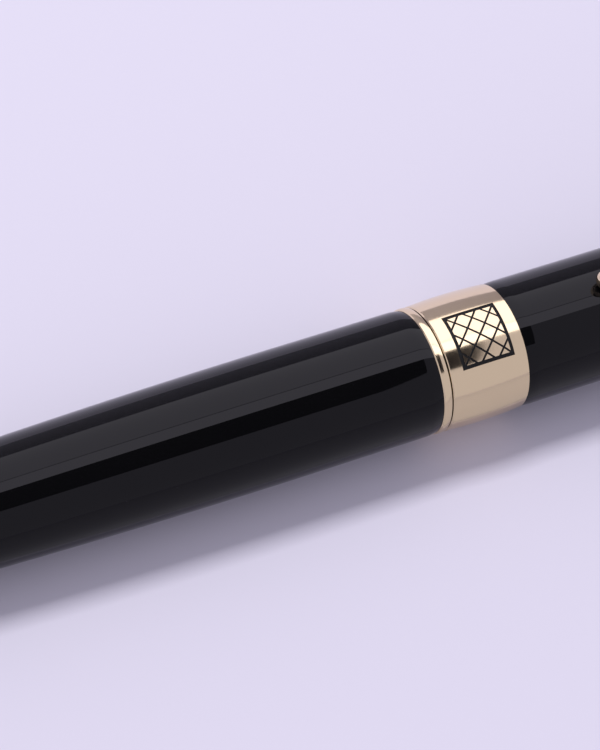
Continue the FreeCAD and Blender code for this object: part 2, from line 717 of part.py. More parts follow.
NODES = [
    "barrel_tube",
    "barrel_trim_ring",
    "thread_bush",
    "tail_ring",
    "tail_finial",
    "tail_screw",
    "refill_spring",
    "refill_tube",
    "refill_end_plug",
    "ink_reservoir",
    "feed_wick",
    "refill_nose",
    "refill_point",
    "writing_ball",
    "section_coupler",
    "grip_section",
    "section_front_ring",
    "nose_cone",
    "snap_ring",
    "cap_band",
    "band_inlay",
    "cap_tube",
    "inner_cap",
    "cap_end_plug",
    "clip_ring",
    "cap_finial",
    "finial_screw",
    "clip_arm",
]


def check_document():
    for item in doc.Objects:
        if {"Invalid", "Error"} & set(item.State):
            raise RuntimeError(f"{item.Name} failed: {item.State}")
    for name in NODES:
        shape = doc.getObject(name).Shape
        if shape.isNull() or not shape.isValid() or not shape.Solids:
            raise RuntimeError(f"{name} has no valid solid")


def main():
    fill_sheet()
    barrel_pieces()
    refill_spring()
    refill_pieces()
    section_pieces()
    snap_ring()
    band_pieces()
    cap_pieces()
    clip_ring()
    clip_arm()
    doc.recompute()
    check_document()
    os.makedirs("parts", exist_ok=True)
    for name in NODES:
        piece = doc.getObject(name)
        piece.Label = name
        piece.Shape.exportStep(f"parts/{name}.step")
        box = piece.Shape.BoundBox
        print(f"{name}: x {box.XMin:.2f} to {box.XMax:.2f}, volume {piece.Shape.Volume:.2f}")


main()
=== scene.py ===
"""A capped rollerball pen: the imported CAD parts, with turned, engraved and plated pieces over them.

Laid out as a Blender add-on and run as a script. Lengths are metres, in the CAD frame: the pen lies along X
on the floor z = 0, with its cap towards +X and its clip upwards.
"""

import math

import bmesh
import bpy
from mathutils import Matrix, Vector


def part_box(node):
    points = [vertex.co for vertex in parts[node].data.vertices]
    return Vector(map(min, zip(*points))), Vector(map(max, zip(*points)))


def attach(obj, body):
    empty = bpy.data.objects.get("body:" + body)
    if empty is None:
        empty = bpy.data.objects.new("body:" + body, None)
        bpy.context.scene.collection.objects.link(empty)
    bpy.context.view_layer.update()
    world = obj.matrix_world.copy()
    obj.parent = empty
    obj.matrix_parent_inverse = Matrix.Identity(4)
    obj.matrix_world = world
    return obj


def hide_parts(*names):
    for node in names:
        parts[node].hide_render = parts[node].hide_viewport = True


bl_info = {
    "name": "Rollerball Pen",
    "version": (1, 0, 0),
    "blender": (4, 5, 0),
    "location": "View3D > Sidebar > Pen",
    "description": "Lacquered, gold-trimmed rollerball pen built over its packed CAD parts",
    "category": "Object",
}

MM = 0.001
HAIR = 1e-8  # two places this near each other are one
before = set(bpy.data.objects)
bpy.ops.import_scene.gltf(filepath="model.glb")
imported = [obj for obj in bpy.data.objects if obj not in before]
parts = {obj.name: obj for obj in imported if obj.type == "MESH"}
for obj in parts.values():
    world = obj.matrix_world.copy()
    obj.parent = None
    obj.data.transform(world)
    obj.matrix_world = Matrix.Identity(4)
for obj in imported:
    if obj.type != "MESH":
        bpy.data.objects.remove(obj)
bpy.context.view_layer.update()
tube_low, tube_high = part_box("barrel_tube")
AXIS = (tube_low.z + tube_high.z) / 2
BAND_START, BAND_END = (corner.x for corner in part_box("cap_band"))
BAND_MIDDLE = (BAND_START + BAND_END) / 2


# ---------------------------------------------------------------- sizes and colours


def length(name, about, default):
    """A size in metres."""
    return bpy.props.FloatProperty(name=name, description=about, default=default, unit="LENGTH", precision=6)


def angle(name, about, degrees):
    return bpy.props.FloatProperty(name=name, description=about, default=math.radians(degrees), unit="ROTATION")


def tint(name, about, colour):
    return bpy.props.FloatVectorProperty(name=name, description=about, default=colour, subtype="COLOR", min=0, max=1)


def share(name, about, default):
    return bpy.props.FloatProperty(name=name, description=about, default=default, subtype="FACTOR", min=0, max=1)


class LacquerSettings(bpy.types.PropertyGroup):
    colour: tint("Colour", "Black under the gloss", (0.0028, 0.0028, 0.0032))
    haze: share("Haze", "Roughness of the polished coat", 0.028)
    straight: length("Straight", "Stretch beside the seam with no taper", 12.5 * MM)
    cap_straight: length("Cap straight", "Stretch of the cap beside its band with no taper", 12.0 * MM)
    lip: length("Lip", "How far the coat rolls down at its edges", 0.12 * MM)
    lip_length: length("Lip length", "Length over which the coat rolls down", 1.2 * MM)


class GoldSettings(bpy.types.PropertyGroup):
    colour: tint("Colour", "Pale champagne plating", (0.87, 0.70, 0.475))
    haze: share("Haze", "Roughness of the polished plating", 0.125)
    bevel: length("Bevel", "Broken edge of a ring", 0.10 * MM)
    crown: length("Crown", "How far the band's middle stands proud of its edges", 0.16 * MM)


class EngravingSettings(bpy.types.PropertyGroup):
    colour: tint("Colour", "Enamel in the engraving", (0.006, 0.006, 0.007))
    side: length("Side", "Side of the square frame", 5.6 * MM)
    line: length("Line", "Width of the square frame's line", 0.34 * MM)
    bar: length("Bar", "Width of a slanting bar", 0.20 * MM)
    cells: bpy.props.IntProperty(name="Cells", description="Lattice cells along a side", default=3, min=2, max=8)
    turn: angle("Turn", "From the clip round to the middle of the engraving", 9.3)
    depth: length("Depth", "From the gold down to the enamel", 0.07 * MM)
    filling: length("Filling", "Thickness of the enamel in its groove", 0.06 * MM)


class SectionSettings(bpy.types.PropertyGroup):
    colour: tint("Resin", "Resin of the grip and the inner cap", (0.012, 0.012, 0.013))
    pitch: length("Thread pitch", "Along the pen for one turn", 1.0 * MM)
    thread_depth: length("Thread depth", "From crest to root", 0.28 * MM)
    brass: tint("Brass", "Turned brass of the threads", (0.72, 0.52, 0.27))
    steel: tint("Steel", "Screws, spring, snap ring and writing ball", (0.56, 0.56, 0.58))


class RefillSettings(bpy.types.PropertyGroup):
    tube: tint("Tube", "Refill tube", (0.80, 0.80, 0.78))
    ink: tint("Ink blue", "Plugs that show the ink's colour", (0.03, 0.06, 0.30))
    fibre: tint("Fibre", "Ink-soaked fibre", (0.05, 0.08, 0.26))
    point: tint("Point", "Nickel silver writing point", (0.74, 0.72, 0.67))


class StageSettings(bpy.types.PropertyGroup):
    floor: tint("Floor", "Pale sheet that the pen lies on", (0.69, 0.665, 0.775))
    sky: tint("Surround", "Light from all round", (0.60, 0.58, 0.66))
    azimuth: angle("Azimuth", "Camera round the pen from -Y", -40.0)
    elevation: angle("Elevation", "Camera above the floor", 59.1)
    roll: angle("Roll", "Camera about its own line of sight", 18.5)
    distance: length("Distance", "Camera to the middle of the band", 280 * MM)
    across: length("Across", "Band's middle to the right of the line of sight", 15.75 * MM)
    above: length("Above", "Band's middle above the line of sight", 1.69 * MM)
    lens: bpy.props.FloatProperty(name="Lens", description="Its focal length", default=137.8, unit="CAMERA")


GROUPS = {
    "lacquer": LacquerSettings,
    "gold": GoldSettings,
    "engraving": EngravingSettings,
    "section": SectionSettings,
    "refill": RefillSettings,
    "stage": StageSettings,
}


class PenSettings(bpy.types.PropertyGroup):
    lacquer: bpy.props.PointerProperty(name="Lacquer", description="Barrel and cap", type=LacquerSettings)
    gold: bpy.props.PointerProperty(name="Gold", description="Rings, band and clip", type=GoldSettings)
    engraving: bpy.props.PointerProperty(name="Engraving", description="Lattice in the band", type=EngravingSettings)
    section: bpy.props.PointerProperty(name="Section", description="Grip and threads", type=SectionSettings)
    refill: bpy.props.PointerProperty(name="Refill", description="Refill and its point", type=RefillSettings)
    stage: bpy.props.PointerProperty(name="Stage", description="Floor, lights and camera", type=StageSettings)


def settings():
    return bpy.context.scene.pen


# ---------------------------------------------------------------- shader maths


class Value:
    """A node's output. Sums on it add their Math nodes."""

    def __init__(self, tree, source):
        self.tree = tree
        self.source = source

    def maths(self, operation, *terms):
        node = self.tree.nodes.new("ShaderNodeMath")
        node.operation = operation
        for socket, term in zip(node.inputs, terms):
            connect(self.tree, socket, term)
        return Value(self.tree, node.outputs[0])

    def __add__(self, other):
        return self.maths("ADD", self, other)

    __radd__ = __add__

    def __mul__(self, other):
        return self.maths("MULTIPLY", self, other)

    __rmul__ = __mul__


def connect(tree, socket, value):
    """Links a Value to a socket, or sets the socket to a number or colour."""
    if isinstance(value, Value):
        tree.links.new(value.source, socket)
    elif socket.type == "RGBA":
        socket.default_value = (*value, 1.0)
    else:
        socket.default_value = value


class Finish:
    """A surface in the making: one material with one shader."""

    def __init__(self, name, metallic=0.0, ior=1.5):
        self.material = bpy.data.materials.new(name)
        self.material.use_nodes = True
        self.tree = self.material.node_tree
        self.shader = self.tree.nodes["Principled BSDF"]
        self.shader.inputs["Metallic"].default_value = metallic
        self.shader.inputs["IOR"].default_value = ior
        self.place = self.add("ShaderNodeTexCoord", output="Object")

    def add(self, kind, how=None, sockets=None, output=0):
        """Any node: its type, its settings, then the values or links of its sockets."""
        node = self.tree.nodes.new(kind)
        for name, value in (how or {}).items():
            setattr(node, name, value)
        for name, value in (sockets or {}).items():
            connect(self.tree, node.inputs[name], value)
        return Value(self.tree, node.outputs[output])

    def stretched(self, along, across):
        """The place on the pen, scaled along its axis and across it."""
        how = {"operation": "MULTIPLY"}
        return self.add("ShaderNodeVectorMath", how, {0: self.place, 1: (along, across, across)})

    def grain(self, scale, detail=2.0, place=None):
        """Smooth noise from 0 to 1; scale is in waves per metre."""
        sockets = {"Vector": place or self.place, "Scale": scale, "Detail": detail, "Roughness": 0.5}
        return self.add("ShaderNodeTexNoise", {"noise_dimensions": "3D"}, sockets)

    def turning(self, scale=1.0):
        """Fine lines round the pen, left by the lathe or the buffing wheel."""
        return self.grain(1.0, 3.0, self.stretched(9000 * scale, 260 * scale))

    def blend(self, factor, first, second):
        """From one colour to another."""
        how = {"data_type": "RGBA"}
        return self.add("ShaderNodeMix", how, {0: factor, 6: first, 7: second}, output=2)

    def paint(self, **values):
        """Sets the shader: base_colour=..., roughness=..., and so on."""
        for name, value in values.items():
            socket = name.replace("_", " ").title().replace("Colour", "Color")
            connect(self.tree, self.shader.inputs[socket], value)

    def relief(self, height, rise):
        """Raises the surface by height times rise, in metres."""
        bump = self.add("ShaderNodeBump", sockets={"Strength": 1.0, "Distance": rise, "Height": height})
        self.paint(normal=bump)


def darker(colour, factor):
    return tuple(channel * factor for channel in colour)


def lacquer_finish(name):
    sizes = settings().lacquer
    finish = Finish(name, ior=1.31)
    clouds = finish.grain(55, 3)
    wipe = finish.grain(1.0, 2, finish.stretched(60, 420))
    finish.paint(
        base_colour=finish.blend(clouds, darker(sizes.colour, 0.7), darker(sizes.colour, 1.3)),
        roughness=sizes.haze * (0.7 + 0.6 * wipe),
        specular_tint=(0.94, 0.92, 1.0),
    )
    finish.relief(finish.grain(320, 1), 0.9e-6)
    return finish.material


def gold_finish(name):
    sizes = settings().gold
    finish = Finish(name, metallic=1.0)
    clouds = finish.grain(140, 3)
    lines = finish.turning()
    finish.paint(
        base_colour=finish.blend(clouds, darker(sizes.colour, 0.97), darker(sizes.colour, 1.03)),
        roughness=sizes.haze * (0.75 + 0.5 * lines),
    )
    finish.relief(lines, 0.12e-6)
    return finish.material


def enamel_finish(name):
    sizes = settings().engraving
    finish = Finish(name, ior=1.3)
    speckle = finish.grain(6000, 3)
    finish.paint(
        base_colour=finish.blend(speckle, darker(sizes.colour, 0.7), darker(sizes.colour, 1.5)),
        roughness=0.5 + 0.2 * speckle,
    )
    finish.relief(speckle, 4e-6)
    return finish.material


def resin_finish(name):
    sizes = settings().section
    finish = Finish(name)
    clouds = finish.grain(180, 3)
    pores = finish.grain(7000, 2)
    finish.paint(
        base_colour=finish.blend(clouds, darker(sizes.colour, 0.75), darker(sizes.colour, 1.25)),
        roughness=0.26 + 0.08 * clouds + 0.05 * pores,
    )
    finish.relief(pores, 1.2e-6)
    return finish.material


def turned_metal(name, colour, haze, depth, scale=1.0):
    """Metal left as the lathe left it."""
    finish = Finish(name, metallic=1.0)
    lines = finish.turning(scale)
    stain = finish.grain(260, 3)
    finish.paint(
        base_colour=finish.blend(stain, darker(colour, 0.82), darker(colour, 1.08)),
        roughness=haze * (0.7 + 0.5 * lines) + 0.06 * stain,
    )
    finish.relief(lines, depth)
    return finish.material


def brass_finish(name):
    return turned_metal(name, settings().section.brass, 0.30, 1.2e-6, 0.6)


def steel_finish(name):
    return turned_metal(name, settings().section.steel, 0.24, 0.5e-6)


def nickel_finish(name):
    return turned_metal(name, settings().refill.point, 0.16, 0.3e-6)


def moulded_plastic(name, colour, roughness):
    """Plastic from a mould, slightly cloudy and faintly drawn along the pen."""
    finish = Finish(name)
    clouds = finish.grain(220, 3)
    drawn = finish.grain(1.0, 2, finish.stretched(40, 5000))
    finish.paint(
        base_colour=finish.blend(clouds, darker(colour, 0.92), darker(colour, 1.04)),
        roughness=roughness + 0.12 * drawn,
    )
    finish.relief(drawn, 1.5e-6)
    return finish.material


def tube_finish(name):
    return moulded_plastic(name, settings().refill.tube, 0.32)


def plug_finish(name):
    return moulded_plastic(name, settings().refill.ink, 0.28)


def fibre_finish(name):
    colour = settings().refill.fibre
    finish = Finish(name)
    strands = finish.grain(1.0, 4, finish.stretched(500, 16000))
    soak = finish.grain(140, 2)
    finish.paint(
        base_colour=finish.blend(strands * (0.5 + soak), darker(colour, 0.6), darker(colour, 1.8)),
        roughness=0.75 + 0.2 * strands,
    )
    finish.relief(strands, 12e-6)
    return finish.material


FINISHES = {
    "black_lacquer": lacquer_finish,
    "pale_gold": gold_finish,
    "black_enamel": enamel_finish,
    "black_resin": resin_finish,
    "raw_brass": brass_finish,
    "steel": steel_finish,
    "refill_plastic": tube_finish,
    "ink_blue": plug_finish,
    "fibre": fibre_finish,
    "nickel_silver": nickel_finish,
}


def finish_of(slot):
    """The slot's material, made the first time that it is asked for."""
    name = slot + "_finish"
    return bpy.data.materials.get(name) or FINISHES[slot](name)


# ---------------------------------------------------------------- turned pieces


def ends(node):
    """Where a CAD part starts and ends along the pen."""
    low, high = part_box(node)
    return low.x, high.x


def radii(node, x):
    """Smallest and largest radius of a CAD part in the plane x."""
    found = [math.hypot(v.co.y, v.co.z - AXIS) for v in parts[node].data.vertices if abs(v.co.x - x) < 0.01 * MM]
    if not found:
        raise RuntimeError(f"{node} has no edge at {x:.5f}")
    return min(found), max(found)


def arc(start, end, count=24):
    """The arc that leaves start along the pen and comes down to end."""
    (x0, r0), (x1, r1) = start, end
    run, drop = x1 - x0, r0 - r1
    radius = (run**2 + drop**2) / (2 * drop)
    whole = math.asin(abs(run) / radius)
    steps = [whole * step / count for step in range(count + 1)]
    return [(x0 + math.copysign(radius * math.sin(a), run), r0 - radius * (1 - math.cos(a))) for a in steps]


def crowned(x0, x1, edge, rise, count=24):
    """A shallow arc from edge to edge, proud by rise in the middle."""
    half = (x1 - x0) / 2
    radius = (half**2 + rise**2) / (2 * rise)
    places = [x0 + (x1 - x0) * step / count for step in range(count + 1)]
    return [(x, edge + rise - radius + math.sqrt(radius**2 - (x - x0 - half) ** 2)) for x in places]


def rolled(points, x, lip, over):
    """Rolls the coat down by lip, smoothly, over the last stretch before x."""
    made = []
    for px, pr in points:
        near = max(0.0, 1 - abs(px - x) / over)
        made.append((px, pr - lip * near**2))
    return made


def spaced(x0, x1, count, easing=1.0):
    """Places from x0 to x1, closer together near x0 for an easing above 1."""
    return [x0 + (x1 - x0) * (step / count) ** easing for step in range(count + 1)]


def section_of(*corners, steps=5):
    """Half of a section, as points. A corner is (along, radius), and a third number rounds it off."""
    points = []
    for index, corner in enumerate(corners):
        here = Vector(corner[:2])
        if len(corner) == 2:
            points.append(here)
            continue
        back = Vector(corners[index - 1][:2]) - here
        on = Vector(corners[(index + 1) % len(corners)][:2]) - here
        first, last = here + back.normalized() * corner[2], here + on.normalized() * corner[2]
        for step in range(steps + 1):
            t = step / steps
            points.append(first * (1 - t) ** 2 + here * 2 * t * (1 - t) + last * t * t)
    return [(point.x, point.y) for point in points]


def round_section(mesh, points, steps=160, cut=None):
    """Turns half a section about the pen's axis. cut(x, angle) takes material off at that place."""
    rings = []
    for x, r in points:
        if r < HAIR:
            rings.append([mesh.verts.new((x, 0, AXIS))] * steps)
            continue
        ring = []
        for step in range(steps):
            a = math.tau * step / steps
            depth = cut(x, a) if cut else 0.0
            ring.append(mesh.verts.new((x, (r - depth) * math.sin(a), AXIS + (r - depth) * math.cos(a))))
        rings.append(ring)
    for ring, after in zip(rings, rings[1:] + rings[:1]):
        for step in range(steps):
            on = (step + 1) % steps
            corners = []
            for vert in (ring[step], ring[on], after[on], after[step]):
                if vert not in corners:
                    corners.append(vert)
            if len(corners) > 2:
                mesh.faces.new(corners)


def add_piece(name, mesh, body, slot, nodes, sharp=35.0):
    """Turns a bmesh into a smooth, finished piece that rides on its body and stands for its CAD parts."""
    bmesh.ops.recalc_face_normals(mesh, faces=mesh.faces)
    data = bpy.data.meshes.new(name)
    mesh.to_mesh(data)
    mesh.free()
    data.shade_smooth()
    data.set_sharp_from_angle(angle=math.radians(sharp))
    data.materials.append(finish_of(slot))
    piece = bpy.data.objects.new(name, data)
    bpy.context.scene.collection.objects.link(piece)
    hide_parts(*nodes)
    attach(piece, body)
    return piece


def turned_piece(name, points, body, slot, node, steps=160, cut=None, sharp=35.0):
    """One piece off the lathe, in the place of one CAD part."""
    mesh = bmesh.new()
    round_section(mesh, points, steps, cut)
    add_piece(name, mesh, body, slot, [node], sharp)


def ring_piece(name, node, body, rise=0.0, steps=160):
    """A gold ring with broken edges, and with a crowned rim where there is a rise."""
    bevel = settings().gold.bevel
    x0, x1 = ends(node)
    inside, edge = radii(node, x0)
    rim = crowned(x0 + bevel, x1 - bevel, edge, rise, 10) if rise else [(x0 + bevel, edge), (x1 - bevel, edge)]
    points = [(x0, inside), (x0, edge - bevel), *rim, (x1, edge - bevel), (x1, inside)]
    turned_piece(name, points, body, "pale_gold", node, steps, sharp=25.0)


def finial_piece(name, node, body, outward):
    """A domed end, with a softly rounded tip. outward is 1 for an end that faces +X and -1 for one that faces -X."""
    root, tip = ends(node)[::outward]
    widest, narrow = radii(node, root)[1], radii(node, tip)[1]
    chamfer = 0.05 * MM
    edge = [(root, widest - 0.12 * MM), (root + outward * chamfer, widest - chamfer)]
    dome = arc((root, widest - chamfer), (tip, narrow), 40)[1:-3]
    shoulder, top = dome[-1]
    nose = []
    for step in range(1, 12):
        a = math.pi / 2 * step / 12
        nose.append((shoulder + (tip - shoulder) * math.sin(a), top * math.cos(a)))
    points = [(root, 0.0), *edge, *dome, *nose, (tip, 0.0)]
    turned_piece(name, points, body, "black_lacquer", node, sharp=50.0)


def lacquered_outside(seam, far_end, straight, wide, narrow):
    """The coat of a tube from its seam end to its far end: straight, then tapering, and rolled down at both edges."""
    sizes = settings().lacquer
    over = sizes.lip_length
    way = math.copysign(1.0, far_end - seam)
    taper = arc((seam + way * straight, wide), (far_end, narrow), 60)
    outside = [(x, wide) for x in spaced(seam, seam + way * 1.2 * over, 14)] + taper
    close_end = [(x, taper_radius(taper, x)) for x in spaced(far_end, far_end - way * 1.2 * over, 10)]
    outside = [point for point in outside if abs(point[0] - far_end) > 1.25 * over] + close_end[::-1]
    return rolled(rolled(outside, seam, sizes.lip, over), far_end, sizes.lip, over)


def taper_radius(points, x):
    """Radius of a run of points at x."""
    for (x0, r0), (x1, r1) in zip(points, points[1:]):
        low, high = sorted((x0, x1))
        if low - HAIR <= x <= high + HAIR:
            return r0 + (r1 - r0) * (x - x0) / (x1 - x0)
    return points[0][1]


class PEN_OT_barrel(bpy.types.Operator):
    """Turn the lacquered barrel with its mouth ring, tail ring and tail finial"""

    bl_idname = "pen.barrel"
    bl_label = "Barrel"

    def execute(self, context):
        back, mouth = ends("barrel_tube")
        narrow = radii("barrel_tube", back)[1]
        counterbore, wide = radii("barrel_tube", mouth)
        bush_back = ends("thread_bush")[0]
        bore = radii("barrel_tube", bush_back)[0]
        screw_hole, screw_head = 1.5 * MM, 1.2 * MM
        bore_end = ends("tail_screw")[1] - screw_head
        points = [
            *lacquered_outside(mouth, back, settings().lacquer.straight, wide, narrow),
            (back, screw_hole),
            (bore_end, screw_hole),
            (bore_end, bore),
            (bush_back, bore),
            (bush_back, counterbore),
            (mouth, counterbore),
        ]
        turned_piece("lacquer_barrel", points, "barrel", "black_lacquer", "barrel_tube", sharp=50.0)
        ring_piece("mouth_ring", "barrel_trim_ring", "barrel", 0.05 * MM)
        ring_piece("tail_band", "tail_ring", "barrel", 0.08 * MM)
        finial_piece("tail_end", "tail_finial", "barrel", -1)
        return {"FINISHED"}


class PEN_OT_cap(bpy.types.Operator):
    """Turn the lacquered cap and its finial"""

    bl_idname = "pen.cap"
    bl_label = "Cap"

    def execute(self, context):
        mouth, top = ends("cap_tube")
        bore, wide = radii("cap_tube", mouth)
        narrow = radii("cap_tube", top)[1]
        plug = ends("cap_end_plug")[0]
        plug_bore, upper_bore = 4.2 * MM, 5.3 * MM
        bore_narrows = ends("inner_cap")[0] + 33.5 * MM
        points = [
            *lacquered_outside(mouth, top, settings().lacquer.cap_straight, wide, narrow),
            (top, plug_bore),
            (plug, plug_bore),
            (plug, upper_bore),
            (bore_narrows, bore),
            (mouth, bore),
        ]
        turned_piece("lacquer_cap", points, "cap", "black_lacquer", "cap_tube", sharp=50.0)
        finial_piece("cap_end", "cap_finial", "cap", 1)
        return {"FINISHED"}


class PEN_OT_band(bpy.types.Operator):
    """Form the gold band and sink the enamel lattice in it"""

    bl_idname = "pen.band"
    bl_label = "Engraved band"

    def execute(self, context):
        gold, cut = settings().gold, settings().engraving
        bore, edge = radii("cap_band", BAND_START)
        bevel = gold.bevel
        start, end = BAND_START + bevel, BAND_END - bevel
        half = (BAND_END - BAND_START) / 2
        bow = (half**2 + gold.crown**2) / (2 * gold.crown)

        def height(x):
            return edge + gold.crown - bow + math.sqrt(bow**2 - (x - BAND_MIDDLE) ** 2)

        def on_band(x, t, sunk=0.0):
            """The point over (x, t) of the flat drawing, t running round from the middle of the engraving."""
            a = math.asin(t / height(x)) + cut.turn
            r = height(x) - sunk
            return Vector((x, -r * math.sin(a), AXIS + r * math.cos(a)))

        reach = cut.side / 2 + 0.6 * MM
        drawing, enamel = engraved_sheet(start, end, reach)
        made = bmesh.new()
        lifted = {}

        def corner(vert, sunk):
            key = (vert.index, sunk)
            if key not in lifted:
                depth = cut.depth + cut.filling if sunk else 0.0
                lifted[key] = made.verts.new(on_band(vert.co.x, vert.co.y, depth))
            return lifted[key]

        drawing.verts.index_update()
        floor_faces = {}  # a dict, as it keeps their order from run to run
        for face in drawing.faces:
            sunk = face in enamel
            new = made.faces.new([corner(vert, sunk) for vert in face.verts])
            if sunk:
                floor_faces[new] = None
        for line in drawing.edges:
            sides = [face in enamel for face in line.link_faces]
            if len(sides) == 2 and sides[0] != sides[1]:
                a, b = line.verts
                made.faces.new([corner(a, False), corner(b, False), corner(b, True), corner(a, True)])
        side_edges = {}
        for vert in drawing.verts:
            if abs(abs(vert.co.y) - reach) < HAIR:
                side_edges[(round(vert.co.x, 9), vert.co.y > 0)] = corner(vert, False)
        drawing.free()
        rows = []
        count = 132
        for x in sorted({place for place, _ in side_edges}):
            near = math.asin(reach / height(x))
            row = [side_edges[(x, True)]]
            for step in range(1, count):
                a = near + (math.tau - 2 * near) * step / count + cut.turn
                r = height(x)
                row.append(made.verts.new((x, -r * math.sin(a), AXIS + r * math.cos(a))))
            row.append(side_edges[(x, False)])
            rows.append(row)
        for row, after in zip(rows, rows[1:]):
            for step in range(count):
                made.faces.new([row[step], row[step + 1], after[step + 1], after[step]])
        near_bore = edge_ring(made, start, BAND_START, edge, bore, bevel)
        far_bore = edge_ring(made, end, BAND_END, edge, bore, bevel)
        for step in range(len(near_bore)):
            made.faces.new([near_bore[step - 1], near_bore[step], far_bore[step], far_bore[step - 1]])
        enamel_mesh = bmesh.new()
        copied = {}

        def enamel_corner(vert, thickness):
            key = (vert, thickness)
            if key not in copied:
                copied[key] = enamel_mesh.verts.new(vert.co + outwards(vert.co) * thickness)
            return copied[key]

        for face in floor_faces:
            for thickness in (cut.filling, 0.0):
                enamel_mesh.faces.new([enamel_corner(vert, thickness) for vert in face.verts])
            for loop in face.loops:
                walled = [other for other in loop.edge.link_faces if other in floor_faces]
                if len(walled) == 1:
                    a, b = loop.vert, loop.link_loop_next.vert
                    wall = [(a, cut.filling), (b, cut.filling), (b, 0.0), (a, 0.0)]
                    enamel_mesh.faces.new([enamel_corner(*place) for place in wall])
        band = add_piece("gold_band", made, "cap", "pale_gold", ["cap_band"], sharp=30.0)
        true_normals(band, height, bow, start, end)
        add_piece("enamel_lattice", enamel_mesh, "cap", "black_enamel", ["band_inlay"], sharp=40.0)
        return {"FINISHED"}


def outwards(place):
    """The direction straight out from the pen's axis."""
    return Vector((0, place.y, place.z - AXIS)).normalized()


def engraved_sheet(start, end, reach):
    """A flat drawing of the band's front, cut along every line of the lattice, and its enamel faces."""
    cut = settings().engraving
    outer, inner = cut.side / 2, cut.side / 2 - cut.line

    def stops(low, high, marks, gap):
        marks = sorted({low, high, *marks})
        made = [marks[0]]
        for first, last in zip(marks, marks[1:]):
            count = max(1, round((last - first) / gap))
            made += [first + (last - first) * step / count for step in range(1, count + 1)]
        return made

    frame_lines = [-outer, -inner, inner, outer]
    xs = stops(start, end, [BAND_MIDDLE + line for line in frame_lines], cut.line)
    ts = stops(-reach, reach, frame_lines, cut.line)
    sheet = bmesh.new()
    grid = [[sheet.verts.new((x, t, 0)) for t in ts] for x in xs]
    for column, after in zip(grid, grid[1:]):
        for step in range(len(ts) - 1):
            sheet.faces.new([column[step], after[step], after[step + 1], column[step + 1]])

    def in_window(face):
        middle = face.calc_center_median()
        return abs(middle.x - BAND_MIDDLE) < inner and abs(middle.y) < inner

    bars = []
    for number in range(1 - cut.cells, cut.cells):
        shift = number * cut.side / cut.cells
        for slope in (1, -1):
            across = Vector((-slope, 1, 0)).normalized()
            bars.append((across, across.dot(Vector((BAND_MIDDLE, shift, 0)))))
    for across, offset in bars:
        for side in (-0.5, 0.5):
            window = [face for face in sheet.faces if in_window(face)]
            near = {item for face in window for item in (face, *face.edges, *face.verts)}
            line = across * (offset + side * cut.bar)
            bmesh.ops.bisect_plane(sheet, geom=list(near), dist=HAIR, plane_co=line, plane_no=across)

    def is_enamel(face):
        middle = face.calc_center_median()
        x, t = abs(middle.x - BAND_MIDDLE), abs(middle.y)
        if x > outer or t > outer:
            return False
        if x > inner or t > inner:
            return True
        flat = Vector((middle.x, middle.y, 0))
        return any(abs(across.dot(flat) - offset) < cut.bar / 2 for across, offset in bars)

    return sheet, {face for face in sheet.faces if is_enamel(face)}


def edge_ring(made, from_x, to_x, edge, bore, bevel):
    """Closes one end of the band, a broken edge and then the flat end, and returns the ring at the bore."""
    rim = [v for v in made.verts if abs(v.co.x - from_x) < HAIR]
    rim.sort(key=lambda v: math.atan2(v.co.y, v.co.z - AXIS))
    rings = [rim]
    for x, r in ((to_x, edge - bevel), (to_x, bore)):
        ring = []
        for v in rim:
            out = outwards(v.co) * r
            ring.append(made.verts.new((x, out.y, AXIS + out.z)))
        rings.append(ring)
    for ring, after in zip(rings, rings[1:]):
        for step in range(len(ring)):
            on = (step + 1) % len(ring)
            made.faces.new([ring[step], ring[on], after[on], after[step]])
    return rings[-1]


def true_normals(band, height, bow, start, end):
    """Gives the band's rim the exact normals of its crown, whatever the engraving's lines do to the mesh."""
    data = band.data
    made = []
    for face in data.polygons:
        middle = face.center
        on_rim = False
        if start < middle.x < end:
            on_rim = abs(math.hypot(middle.y, middle.z - AXIS) - height(middle.x)) < 0.02 * MM
        for index in face.vertices:
            place = data.vertices[index].co
            out = outwards(place)
            lean = (place.x - BAND_MIDDLE) / bow
            made.append(Vector((lean, out.y, out.z)).normalized() if on_rim else face.normal.copy())
    data.normals_split_custom_set(made)


class PEN_OT_clip(bpy.types.Operator):
    """Form the clip's ring with its tab, and the arm with its ball"""

    bl_idname = "pen.clip"
    bl_label = "Clip"

    def execute(self, context):
        x0, x1 = ends("clip_ring")
        bore = radii("clip_ring", x0)[0]
        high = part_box("clip_ring")[1].z - AXIS
        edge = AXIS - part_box("clip_ring")[0].z
        bevel = settings().gold.bevel
        mesh = bmesh.new()
        rim = crowned(x0 + bevel, x1 - bevel, edge - 0.03 * MM, 0.03 * MM, 8)
        round_section(mesh, [(x0, bore), (x0, edge - bevel), *rim, (x1, edge - bevel), (x1, bore)])
        low_arm, high_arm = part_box("clip_arm")
        half_width = high_arm.y
        let_in, broken_edge = 0.9 * MM, 0.12 * MM
        tab(mesh, x0, x1, half_width, edge - let_in, high, broken_edge)
        add_piece("clip_collar", mesh, "cap", "pale_gold", ["clip_ring"], sharp=28.0)

        ball_radius, ball_height = 1.0 * MM, 7.36 * MM
        root_height = high - 0.45 * MM
        mesh = bmesh.new()
        arm_loft(mesh, low_arm.x + ball_radius, ball_height, ball_radius, high_arm.x, root_height, half_width)
        add_piece("clip_spring_arm", mesh, "clip", "pale_gold", ["clip_arm"], sharp=45.0)
        return {"FINISHED"}


